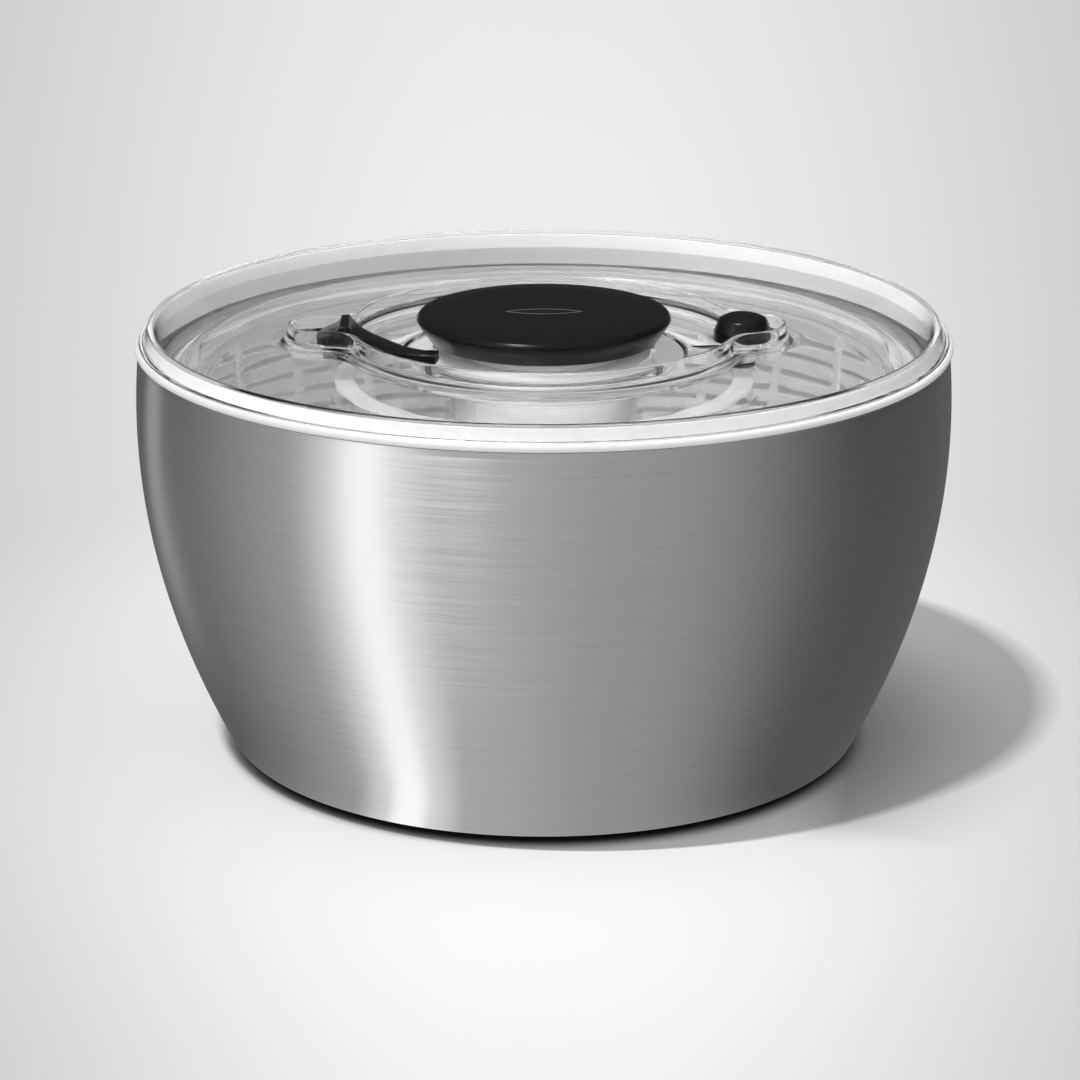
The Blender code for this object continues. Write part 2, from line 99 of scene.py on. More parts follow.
# Lid
LID_SECTIONS = 480
LID_TOP = top_of("lid_shell")
LID_UNDER = bottom_of("lid_shell")
TRAY_R = 64.5
TRAY_FLOOR = 132.2
TRAY_UNDER = 130.4
TRAY_TOP = 140.9
LID_HOLE_R = 36.5
SKIRT_BOTTOM = 137.5
LOCK_Y = -1.5
BRAKE_X = 65.0
LOCK_EAR_X = (-72.5, -50.0)
LOCK_EAR_R = 11.5
BUTTON_EAR_X = (45.0, BRAKE_X)
BUTTON_EAR_R = 14.5
EAR_BLEND = 8.0
# Pump
KNOB_TOP = top_of("pump_knob")
KNOB_BOTTOM = bottom_of("pump_knob")
HOUSING_FLOOR = bottom_of("mechanism_housing")
# Turntable and basket
DISC_TOP = 120.9
BASKET_TOP = top_of("basket")
BASKET_FLOOR = 12.0
BASKET_T = 1.8
BASKET_GAP = 14.6
BASKET_CORNER_R = 14.0
RIBS = 24
FIRST_RIB_DEG = 1.5


# ---------------------------------------------------------------- outlines and meshes

def rounded(corners, steps=5):
    """A closed outline, in which a corner given as (r, z, radius) becomes a soft bend."""
    points = []
    count = len(corners)
    for i, corner in enumerate(corners):
        here = Vector(corner[:2])
        if len(corner) == 2:
            points.append(tuple(here))
            continue
        before = Vector(corners[i - 1][:2]) - here
        after = Vector(corners[(i + 1) % count][:2]) - here
        half = before.angle(after) / 2.0
        reach = min(corner[2] / math.tan(half), before.length * 0.49, after.length * 0.49)
        start = here + before.normalized() * reach
        end = here + after.normalized() * reach
        for k in range(steps + 1):
            t = k / steps
            points.append(tuple(start * (1 - t) ** 2 + here * 2 * t * (1 - t) + end * t * t))
    return points


def add_object(name, data):
    """Links a new object with this data to the scene."""
    item = bpy.data.objects.new(name, data)
    bpy.context.scene.collection.objects.link(item)
    return item


def finish_mesh(name, bm, mat, body, sharp_deg=38.0):
    """Turns a mesh made in millimetres into a named, shaded object.

    The object rides on the body, or stays free where body is None.
    """
    bmesh.ops.scale(bm, vec=(MM, MM, MM), verts=bm.verts)
    bmesh.ops.recalc_face_normals(bm, faces=bm.faces)
    mesh = bpy.data.meshes.new(name)
    bm.to_mesh(mesh)
    bm.free()
    mesh.shade_smooth()
    mesh.set_sharp_from_angle(angle=math.radians(sharp_deg))
    mesh.materials.append(mat)
    item = add_object(name, mesh)
    if body:
        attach(item, body)
    return item


def stand_for(item, slot, *replaced):
    """Hides the nodes that a piece stands for. The piece and slot, the name of its finish, are not
    used.
    """
    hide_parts(*replaced)


def loft(rings, closed):
    """Joins rings of points. Rings of one point are poles, and open ends get flat caps."""
    bm = bmesh.new()
    rows = [[bm.verts.new(p) for p in ring] for ring in rings]
    pairs = list(zip(rows, rows[1:]))
    if closed:
        pairs.append((rows[-1], rows[0]))
    for low, high in pairs:
        count = max(len(low), len(high))
        for i in range(count):
            j = (i + 1) % count
            if len(low) == 1:
                bm.faces.new((low[0], high[j], high[i]))
            elif len(high) == 1:
                bm.faces.new((low[i], low[j], high[0]))
            else:
                bm.faces.new((low[i], low[j], high[j], high[i]))
    if not closed:
        for row in (rows[0], rows[-1]):
            if len(row) > 2:
                bm.faces.new(row)
    return bm


def circle(radius, z, count, x=0.0):
    """Points round a circle, or one point where the radius is nothing."""
    if radius < ON_AXIS:
        return [(x, 0.0, z)]
    turns = [math.tau * i / count for i in range(count)]
    return [(x + radius * math.cos(a), radius * math.sin(a), z) for a in turns]


def turned(name, outline, mat, body, count, x=0.0):
    """Revolves a closed (radius, z) outline round an upright axis at x."""
    on_axis = outline[0][0] < ON_AXIS and outline[-1][0] < ON_AXIS
    rings = [circle(r, z, count, x) for r, z in outline]
    return finish_mesh(name, loft(rings, closed=not on_axis), mat, body)


def coil(name, radius, wire_r, z0, z1, turns, mat, body, x=0.0):
    """A compression spring of round wire with closed, level ends."""
    sides, steps = 10, 40
    closing = 0.55  # how far the turns close up towards the ends
    low = z0 + wire_r
    rise = z1 - z0 - 2.0 * wire_r
    total = int(turns * steps)
    rings = []
    for i in range(total + 1):
        part = i / total
        eased = part - math.sin(math.tau * part) / math.tau * closing
        angle = math.tau * turns * part
        out = Vector((math.cos(angle), math.sin(angle), 0.0))
        centre = out * radius + Vector((x, 0.0, low + rise * eased))
        ring = []
        for k in range(sides):
            turn = math.tau * k / sides
            ring.append(centre + out * wire_r * math.cos(turn)
                        + Vector((0.0, 0.0, wire_r * math.sin(turn))))
        rings.append(ring)
    return finish_mesh(name, loft(rings, closed=False), mat, body, 60.0)


# ---------------------------------------------------------------- materials

class Nodes:
    """A short way to add shader nodes and links to a material."""

    def __init__(self, name):
        self.mat = bpy.data.materials.new(name)
        self.mat.use_nodes = True
        self.tree = self.mat.node_tree
        self.shader = self.tree.nodes["Principled BSDF"]
        self.output = self.tree.nodes["Material Output"]

    def set(self, **values):
        """Sets inputs of the shader, named with _ for a space."""
        for key, value in values.items():
            self.shader.inputs[key.replace("_", " ")].default_value = value

    def add(self, kind, **settings):
        """A new node with these settings."""
        node = self.tree.nodes.new(kind)
        for key, value in settings.items():
            setattr(node, key, value)
        return node

    def link(self, source, target):
        self.tree.links.new(source, target)

    def place(self, scale):
        """Object coordinates, stretched: scale is how many pattern units fit in a metre."""
        where = self.add("ShaderNodeTexCoord")
        move = self.add("ShaderNodeMapping")
        move.inputs["Scale"].default_value = scale
        self.link(where.outputs["Object"], move.inputs["Vector"])
        return move.outputs["Vector"]

    def noise(self, scale, detail=2.0, roughness=0.5):
        """A noise pattern, stretched by a scale for each axis."""
        node = self.add("ShaderNodeTexNoise")
        node.inputs["Scale"].default_value = 1.0
        node.inputs["Detail"].default_value = detail
        node.inputs["Roughness"].default_value = roughness
        self.link(self.place(scale), node.inputs["Vector"])
        return node.outputs["Fac"]

    def spread(self, value, low, high, from_low=0.3, from_high=0.7):
        """Spreads the useful part of a pattern over low to high."""
        node = self.add("ShaderNodeMapRange")
        node.inputs["From Min"].default_value = from_low
        node.inputs["From Max"].default_value = from_high
        node.inputs["To Min"].default_value = low
        node.inputs["To Max"].default_value = high
        self.link(value, node.inputs["Value"])
        return node.outputs["Result"]

    def greys(self, value, dark, light):
        """Base colour between two greys."""
        node = self.add("ShaderNodeMix", data_type="RGBA")
        node.inputs["A"].default_value = (dark, dark, dark, 1.0)
        node.inputs["B"].default_value = (light, light, light, 1.0)
        self.link(value, node.inputs["Factor"])
        self.link(node.outputs["Result"], self.shader.inputs["Base Color"])

    def bump(self, value, strength, distance):
        """A bump, laid over the one that may already be there."""
        node = self.add("ShaderNodeBump")
        for link in self.shader.inputs["Normal"].links:
            self.link(link.from_socket, node.inputs["Normal"])
        node.inputs["Strength"].default_value = strength
        node.inputs["Distance"].default_value = distance
        self.link(value, node.inputs["Height"])
        self.link(node.outputs["Normal"], self.shader.inputs["Normal"])

    def rough(self, value):
        """Roughness from a pattern."""
        self.link(value, self.shader.inputs["Roughness"])

    def swap_surface(self, factor, other):
        """Shows another shader instead of the main one where the factor is 1."""
        mix = self.add("ShaderNodeMixShader")
        self.link(factor, mix.inputs["Fac"])
        self.link(self.shader.outputs["BSDF"], mix.inputs[1])
        self.link(other, mix.inputs[2])
        self.link(mix.outputs["Shader"], self.output.inputs["Surface"])

    def let_light_through(self, tint):
        """Lets lamps shine through the plastic, as thin clear plastic does."""
        clear = self.add("ShaderNodeBsdfTransparent")
        clear.inputs["Color"].default_value = (tint, tint, tint, 1.0)
        path = self.add("ShaderNodeLightPath")
        self.swap_surface(path.outputs["Is Shadow Ray"], clear.outputs["BSDF"])


class Shades:
    """Builds a grey value out of a direction or a place."""

    def __init__(self, tree):
        self.tree = tree

    def axes(self, kind):
        """The x, y and z of a kind of texture coordinate."""
        split = self.tree.nodes.new("ShaderNodeSeparateXYZ")
        where = self.tree.nodes.new("ShaderNodeTexCoord")
        self.tree.links.new(where.outputs[kind], split.inputs[0])
        return split.outputs

    def math(self, operation, a, b=None, c=None):
        """A sum on sockets or plain numbers."""
        node = self.tree.nodes.new("ShaderNodeMath")
        node.operation = operation
        for slot, value in zip(node.inputs, (a, b, c)):
            if value is None:
                continue
            if isinstance(value, (int, float)):
                slot.default_value = value
            else:
                self.tree.links.new(value, slot)
        return node.outputs[0]

    def length(self, a, b):
        """How long the vector (a, b) is."""
        squares = self.math("ADD", self.math("MULTIPLY", a, a), self.math("MULTIPLY", b, b))
        return self.math("SQRT", squares)

    def step(self, value, low, high, start, end):
        """Eases from start to end while the value goes from low to high."""
        node = self.tree.nodes.new("ShaderNodeMapRange")
        node.interpolation_type = "SMOOTHSTEP"
        for name, number in (("From Min", low), ("From Max", high), ("To Min", start),
                             ("To Max", end)):
            node.inputs[name].default_value = number
        self.tree.links.new(value, node.inputs["Value"])
        return node.outputs["Result"]

    def around(self, x, y, lobes, near=None):
        """How a brushed wall sees the studio round about: a grey for each compass direction.

        Where near is above 0, the shades crowd towards the front, and straight behind stays in
        place.
        """
        azimuth = self.math("ARCTAN2", x, self.math("MULTIPLY", y, -1.0))
        if near is not None:
            part = self.math("DIVIDE", azimuth, math.pi)
            fade = self.math("SUBTRACT", 1.0, self.math("MULTIPLY", part, part))
            azimuth = self.math("MULTIPLY", azimuth, self.math("MULTIPLY_ADD", near, fade, 1.0))
        total = None
        for centre, low, high, start, end in lobes:
            off = self.math("COSINE", self.math("SUBTRACT", azimuth, math.radians(centre)))
            part = self.step(off, math.cos(math.radians(low)), math.cos(math.radians(high)),
                             start, end)
            total = part if total is None else self.math("ADD", total, part)
        return total


def brushed_steel():
    """Steel brushed round and round: long level scratches that stretch a light upright."""
    m = Nodes("steel_brushed_level")
    m.set(Metallic=1.0, Anisotropic=0.95, Anisotropic_Rotation=0.25)
    fine = m.noise((58.0, 58.0, 3400.0), 2.0, 0.55)
    long = m.noise((17.0, 17.0, 1500.0), 2.0, 0.5)
    both = m.add("ShaderNodeMath", operation="ADD")
    m.link(fine, both.inputs[0])
    m.link(long, both.inputs[1])
    m.greys(m.spread(both.outputs[0], 0.0, 1.0, 0.7, 1.3), 0.49, 0.56)
    m.rough(m.spread(both.outputs[0], 0.26, 0.34, 0.75, 1.25))
    m.bump(both.outputs[0], 0.12, 0.00003)
    tangent = m.add("ShaderNodeTangent", direction_type="RADIAL", axis="Z")
    m.link(tangent.outputs["Tangent"], m.shader.inputs["Tangent"])
    return m.mat


def turned_steel(name, dark, light, roughness):
    """Small turned or drawn steel pieces."""
    m = Nodes(name)
    m.set(Metallic=1.0)
    grain = m.noise((900.0, 900.0, 2600.0), 3.0)
    m.greys(m.spread(grain, 0.0, 1.0), dark, light)
    m.rough(m.spread(grain, roughness - 0.06, roughness + 0.1))
    m.bump(grain, 0.15, 0.00003)
    return m.mat


def clear_plastic(name, roughness, grey, ior, transmission, tint):
    """Clear moulded plastic with a faint waviness from the mould."""
    m = Nodes(name)
    m.set(Transmission_Weight=transmission, IOR=ior)
    flow = m.noise((26.0, 26.0, 40.0), 2.0)
    scuff = m.noise((700.0, 700.0, 700.0), 3.0)
    m.greys(m.spread(scuff, 0.0, 1.0), grey * 0.985, grey)
    m.rough(m.spread(scuff, roughness * 0.7, roughness * 1.4))
    m.bump(flow, 0.05, 0.0006)
    m.let_light_through(tint)
    return m.mat


def milky_plastic(name, grey, transmission, roughness, scatter):
    """Cloudy white plastic: light goes in and comes out softly."""
    m = Nodes(name)
    m.set(Transmission_Weight=transmission, IOR=1.4, Subsurface_Weight=scatter,
          Subsurface_Scale=0.004, Subsurface_Radius=(1.0, 1.0, 1.0))
    cloud = m.noise((240.0, 240.0, 240.0), 3.0)
    m.greys(m.spread(cloud, 0.0, 1.0), grey * 0.96, grey)
    m.rough(m.spread(cloud, roughness - 0.05, roughness + 0.07))
    m.bump(m.noise((1500.0, 1500.0, 1500.0), 2.0), 0.08, 0.00004)
    return m.mat


def soft_black(name, dark, light, shine, low, high, grain_scale, strength):
    """Black soft-touch plastic with a fine moulded grain and faint handling marks."""
    m = Nodes(name)
    m.set(Specular_IOR_Level=shine)
    grain = m.noise((grain_scale, grain_scale, grain_scale), 3.0, 0.6)
    wear = m.noise((45.0, 45.0, 45.0), 4.0, 0.6)
    m.greys(m.spread(wear, 0.0, 1.0), dark, light)
    m.rough(m.spread(wear, low, high))
    m.bump(grain, strength, 0.00006)
    return m


def emboss_lens(m, half_length, half_width):
    """A plain lens shape, drawn as a fine groove round the axis on the top of a piece, with a
    painted highlight along the groove.
    """
    half_groove, depth, grey = 0.0006, 0.0004, 0.2
    shades = Shades(m.tree)
    x, y, _ = shades.axes("Object")
    radius = (half_length ** 2 + half_width ** 2) / (2.0 * half_width)
    far = shades.math("ADD", shades.math("ABSOLUTE", y), radius - half_width)
    off = shades.math("ABSOLUTE", shades.math("SUBTRACT", shades.length(x, far), radius))
    groove = shades.step(off, 0.0, half_groove, 1.0, 0.0)
    m.bump(groove, 1.0, -depth)
    # painted highlight: the groove is paler, as where light would catch its edges
    painted_groove_highlight = m.add("ShaderNodeMix", data_type="RGBA")
    painted_groove_highlight.inputs["B"].default_value = (grey, grey, grey, 1.0)
    m.link(m.shader.inputs["Base Color"].links[0].from_socket, painted_groove_highlight.inputs["A"])
    m.link(groove, painted_groove_highlight.inputs["Factor"])
    m.link(painted_groove_highlight.outputs["Result"], m.shader.inputs["Base Color"])


STEEL = brushed_steel()
WIRE = turned_steel("spring_steel", 0.36, 0.55, 0.3)
CLEAR = clear_plastic("clear_lid_plastic", 0.012, 0.99, 1.3, 1.0, 0.985)
CLEAR_TABLE = clear_plastic("clear_turntable_plastic", 0.02, 0.985, 1.2, 1.0, 0.98)
TRACK = clear_plastic("brake_track_plastic", 0.1, 0.99, 1.1, 0.8, 0.95)
BASKET_MAT = clear_plastic("basket_plastic", 0.15, 0.97, 1.2, 0.75, 0.93)
WHITE = milky_plastic("white_plastic", 0.93, 0.0, 0.28, 0.15)
MILKY = clear_plastic("milky_housing_plastic", 0.12, 0.98, 1.25, 0.7, 0.95)
SEAL = milky_plastic("pale_seal", 0.83, 0.0, 0.35, 0.35)
COLLAR = milky_plastic("milky_collar_plastic", 0.97, 0.45, 0.15, 0.2)
BEARING = milky_plastic("bearing_plastic", 0.7, 0.0, 0.35, 0.1)
KNOB_BLACK = soft_black("soft_black_knob", 0.006, 0.009, 0.14, 0.2, 0.28, 2600.0, 0.2)
emboss_lens(KNOB_BLACK, 0.0122, 0.0033)
PART_BLACK = soft_black("satin_black_plastic", 0.005, 0.008, 0.25, 0.2, 0.3, 3600.0, 0.15)
RUBBER = soft_black("dark_rubber", 0.022, 0.04, 0.3, 0.62, 0.8, 1800.0, 0.35)


# ---------------------------------------------------------------- bowl

def bowl_radius(z):
    """Radius of the steel's outside at a height: widest near the top, and ever less below."""
    return BOWL_WIDEST_R - BOWL_CURVE * (z - BOWL_WIDEST_Z) ** 2


def bowl_skin(inset):
    """The bowl's corner and side, from its flat bottom to its rim, moved in by an inset."""
    corner, corner_steps, side_steps = 5.0, 8, 40
    rim_round = 0.4
    lean = math.atan(2.0 * BOWL_CURVE * (BOWL_WIDEST_Z - STEEL_BOTTOM))
    centre_z = STEEL_BOTTOM + corner
    touch_z = centre_z - corner * math.sin(lean)
    centre_r = bowl_radius(touch_z) - corner * math.cos(lean)
    points = []
    for i in range(corner_steps + 1):
        angle = -math.pi / 2 + (math.pi / 2 - lean) * i / corner_steps
        points.append((centre_r + (corner - inset) * math.cos(angle),
                       centre_z + (corner - inset) * math.sin(angle)))
    for i in range(1, side_steps + 1):
        z = touch_z + (BOWL_TOP - rim_round - touch_z) * i / side_steps
        slope = math.atan(-2.0 * BOWL_CURVE * (z - BOWL_WIDEST_Z))
        points.append((bowl_radius(z) - inset * math.cos(slope), z + inset * math.sin(slope)))
    return points


def make_bowl():
    """The steel shell, pressed up in the middle for the pivot, and the soft ring under it."""
    floor = STEEL_BOTTOM + STEEL_T
    under_pivot = rounded([(0.0, PIVOT_TOP - STEEL_T), (2.6, PIVOT_TOP - STEEL_T, 0.8),
                           (8.3, STEEL_BOTTOM, 2.0), (12.0, STEEL_BOTTOM)])
    over_pivot = rounded([(12.5, floor), (9.0, floor, 2.0), (3.0, PIVOT_TOP, 0.8),
                          (0.0, PIVOT_TOP)])
    outer = bowl_skin(0.0)
    inner = bowl_skin(STEEL_T)
    middle = (outer[-1][0] + inner[-1][0]) / 2.0
    half_lip, drop = 0.27, 0.1
    rim = [(middle + half_lip, BOWL_TOP - drop), (middle, BOWL_TOP),
           (middle - half_lip, BOWL_TOP - drop)]
    outline = under_pivot + outer + rim + inner[::-1] + over_pivot
    bowl = turned("steel_bowl", outline, STEEL, "bowl", 320)
    stand_for(bowl, "brushed_steel", "bowl_shell")
    ring_top = top_of("base_ring")
    groove = [(77.0, 0.0, 0.6), (84.5, 0.0), (85.5, 0.5, 0.4), (88.5, 0.5, 0.4), (89.5, 0.0),
              (96.0, 0.0, 0.6), (96.0, ring_top, 0.3), (77.0, ring_top, 0.3)]
    ring = turned("soft_base_ring", rounded(groove, 4), RUBBER.mat, "bowl", 192)
    stand_for(ring, "dark_rubber", "base_ring")


# ---------------------------------------------------------------- lid

def blend(a, b, width):
    """The smaller of two distances, rounded where they meet."""
    h = max(width - abs(a - b), 0.0) / width
    return min(a, b) - h * h * width * 0.25


def tray_distance(x, y):
    """Distance outside the tray: a circle with an ear for the lock and one for the button."""
    main = math.hypot(x, y) - TRAY_R
    lock_x = min(max(x, LOCK_EAR_X[0]), LOCK_EAR_X[1])
    lock_ear = math.hypot(x - lock_x, y - LOCK_Y) - LOCK_EAR_R
    button_x = min(max(x, BUTTON_EAR_X[0]), BUTTON_EAR_X[1])
    button_ear = math.hypot(x - button_x, y) - BUTTON_EAR_R
    return blend(main, blend(lock_ear, button_ear, EAR_BLEND), EAR_BLEND)


def tray_radius(angle, offset):
    """Radius at which the tray's outline, moved out by an offset, crosses an angle."""
    low, high, halvings = 40.0, 105.0, 22
    for _ in range(halvings):
        middle = (low + high) / 2.0
        if tray_distance(middle * math.cos(angle), middle * math.sin(angle)) < offset:
            low = middle
        else:
            high = middle
    return low


def lid_ring(kind, reach, z):
    """One ring of the lid: a circle of radius reach, or the tray's outline moved by reach."""
    ring = []
    for i in range(LID_SECTIONS):
        angle = math.tau * i / LID_SECTIONS
        radius = tray_radius(angle, reach) if kind == "tray" else reach
        ring.append((radius * math.cos(angle), radius * math.sin(angle), z))
    return ring


def make_lid_shell():
    """Builds the lid ring by ring: out along its top, over its rim, and back underneath."""
    runs = [
        ("round", [(31.0, LID_UNDER), (LID_HOLE_R, TRAY_FLOOR, 0.5), (46.0, TRAY_FLOOR)]),
        ("tray", [(-6.0, TRAY_FLOOR), (-2.1, TRAY_FLOOR, 1.0), (-1.7, TRAY_TOP, 0.7),
                  (0.0, TRAY_TOP, 0.7), (0.3, 136.2, 1.2), (6.0, 135.9)]),
        ("round", [(96.0, 135.3), (112.6, 133.2, 3.0), (117.0, 131.0, 2.0), (121.0, 130.3, 2.0),
                   (124.4, 130.9, 1.6), (127.1, LID_TOP, 0.8), (128.9, LID_TOP, 0.8),
                   (130.4, 138.5, 1.0), (132.0, 138.2, 0.4), (132.0, SKIRT_BOTTOM, 0.2),
                   (129.8, SKIRT_BOTTOM, 0.3), (128.5, 141.6, 0.3), (127.4, 141.6, 0.3),
                   (125.4, 129.8, 1.5), (122.6, 128.4, 1.5), (116.2, 129.0, 2.0),
                   (111.8, 131.2, 3.0), (96.0, 133.4)]),
        ("tray", [(6.0, 133.9), (1.4, 134.1, 1.0), (0.1, TRAY_UNDER, 1.0), (-6.0, TRAY_UNDER)]),
        ("round", [(50.0, TRAY_UNDER), (46.6, TRAY_UNDER, 1.0), (46.0, LID_UNDER, 0.3),
                   (38.0, LID_UNDER)]),
    ]
    rings = [lid_ring(kind, reach, z) for kind, corners in runs
             for reach, z in rounded(corners, 4)]
    shell = finish_mesh("clear_lid", loft(rings, closed=True), CLEAR, "lid")
    cut_lid(shell)
    stand_for(shell, "clear_plastic", "lid_shell")


def cut_lid(shell):
    """Opens the brake's hole and the lock's slot in the tray's floor."""
    slot_start, slot_end, half, steps = -76.2, -64.0, 2.4, 12
    hole_r = 4.9
    below, above = 128.0, 134.5
    slot = []
    for middle, start in ((slot_end - half, -90.0), (slot_start + half, 90.0)):
        for k in range(steps + 1):
            a = math.radians(start + 180.0 * k / steps)
            slot.append((middle + half * math.cos(a), LOCK_Y + half * math.sin(a)))
    hole = [(x, y) for x, y, _ in circle(hole_r, 0.0, 48, x=BRAKE_X)]
    for outline in (hole, slot):
        rings = [[(x, y, z) for x, y in outline] for z in (below, above)]
        cutter = finish_mesh("lid_cutter", loft(rings, closed=False), CLEAR, "lid")
        combine(shell, cutter, "DIFFERENCE")


def combine(item, tool, operation):
    """Joins a tool to a piece or cuts it out, and takes the tool away."""
    step = item.modifiers.new("combine", "BOOLEAN")
    step.object = tool
    step.operation = operation
    apply_modifiers(item)
    bpy.data.objects.remove(tool)


def apply_modifiers(item):
    """Puts the result of a piece's modifiers into its own mesh."""
    graph = bpy.context.evaluated_depsgraph_get()
    graph.update()
    made = bpy.data.meshes.new_from_object(item.evaluated_get(graph))
    item.modifiers.clear()
    old = item.data
    item.data = made
    bpy.data.meshes.remove(old)


def make_gasket():
    """The pale ring that fills the lid's skirt and sits on the bowl's rim."""
    corners = [(128.3, 129.6, 0.5), (130.0, 129.6, 0.8), (130.9, 132.0, 1.0), (131.0, 135.4, 0.4),
               (133.3, 135.4, 0.7), (133.3, 137.2, 0.7), (129.7, 137.2, 0.2), (128.35, 141.4, 0.2),
               (127.6, 141.4, 0.2), (127.0, 136.6, 0.4)]
    gasket = turned("rim_seal", rounded(corners), SEAL, "lid", LID_SECTIONS)
    stand_for(gasket, "pale_seal", "rim_gasket")


def make_housing():
    """The milky tube round the mechanism, with upright ribs outside and a screwed flange."""
    corners = [(9.8, HOUSING_FLOOR, 0.3), (30.2, HOUSING_FLOOR, 1.2), (30.2, 124.2, 0.6),
               (45.8, 124.2, 0.5), (45.8, 126.2, 0.5), (29.1, 126.2, 0.4), (29.1, 94.5, 0.8),
               (9.8, 94.5, 0.3)]
    ribs, per_rib, rib_height = 16, 20, 0.55
    half = per_rib / 2
    count = ribs * per_rib
    rings = []
    for r, z in rounded(corners):
        ribbed = 29.5 < r < 30.6 and 94.5 < z < 124.0
        ring = []
        for i in range(count):
            angle = math.tau * i / count
            beat = abs((i % per_rib) - half) / half
            proud = rib_height * max(0.0, (beat - 0.8) / 0.2) if ribbed else 0.0
            ring.append(((r + proud) * math.cos(angle), (r + proud) * math.sin(angle), z))
        rings.append(ring)
    housing = finish_mesh("milky_housing", loft(rings, closed=True), MILKY, "lid")
    stand_for(housing, "milky_plastic", "mechanism_housing")


def make_collar():
    """The clear guide: a cone in the lid's hole, and a sleeve whose end has notches."""
    notches, per_notch, notch_height = 12, 24, 1.3
    count = notches * per_notch
    rings = []
    corners = [(27.0, 131.6, 0.4), (35.4, 131.6, 0.4), (30.7, 126.8, 0.6), (28.4, 126.7, 0.2),
               (28.4, 124.6, 0.1), (27.0, 124.6, 0.1)]
    for r, z in rounded(corners, 3):
        ring = circle(r, z, count)
        if z < 124.9:
            ring = [(x, y, h + (notch_height if i % per_notch < per_notch / 2 else 0.0))
                    for i, (x, y, h) in enumerate(ring)]
        rings.append(ring)
    collar = finish_mesh("notched_collar", loft(rings, closed=True), COLLAR, "lid")
    stand_for(collar, "clear_plastic", "guide_collar")


# ---------------------------------------------------------------- pump, lock and brake

def make_pump():
    """The knob, the white core that slides in the collar, and the spring that lifts them."""
    cap = [(0.0, KNOB_TOP), (33.0, KNOB_TOP - 0.05, 20.0), (40.6, KNOB_TOP - 0.45, 1.2),
           (41.8, KNOB_TOP - 1.9, 1.0), (40.6, 140.6, 3.0), (37.3, KNOB_BOTTOM - 1.5, 0.4),
           (36.6, KNOB_BOTTOM - 1.5, 0.2), (36.6, 142.1, 0.4), (0.0, 142.1)]
    knob = turned("pump_knob_cap", rounded(cap, 8), KNOB_BLACK.mat, "pump", 256)
    stand_for(knob, "black_plastic", "pump_knob")
    core = [(0.0, 141.8), (36.2, 141.8, 0.3), (36.2, 137.6, 1.5), (28.4, 133.3, 0.8),
            (26.4, 133.0, 0.4), (26.4, 98.8, 0.3), (28.3, 98.3, 0.2), (28.3, 97.2, 0.4),
            (24.2, 97.2, 0.4), (24.2, 139.5, 1.0), (11.0, 139.5, 1.0), (11.0, 98.9, 0.4),
            (8.9, 98.9, 0.4), (8.9, 139.0, 0.4), (0.0, 139.0)]
    tube = turned("white_pump_core", rounded(core), WHITE, "pump", 192)
    stand_for(tube, "white_plastic", "pump_core")
    low, high = 94.9, 139.1
    spring = coil("pump_spring", 17.5, 0.9, low, high, 6.0, WIRE, None)
    stand_for(spring, "spring_steel", "return_spring")
    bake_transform(spring)


def smooth_between(values, steps):
    """Points of a smooth curve through the values, with steps in each gap."""
    last = len(values) - 1
    points = []
    for i in range(last):
        a, b, c, d = (values[max(i - 1, 0)], values[i], values[i + 1], values[min(i + 2, last)])
        for k in range(steps):
            t = k / steps
            points.append([0.5 * (2 * q + (r - p) * t + (2 * p - 5 * q + 4 * r - s) * t * t
                                  + (3 * q - p - 3 * r + s) * t ** 3)
                           for p, q, r, s in zip(a, b, c, d)])
    points.append(list(values[last]))
    return points


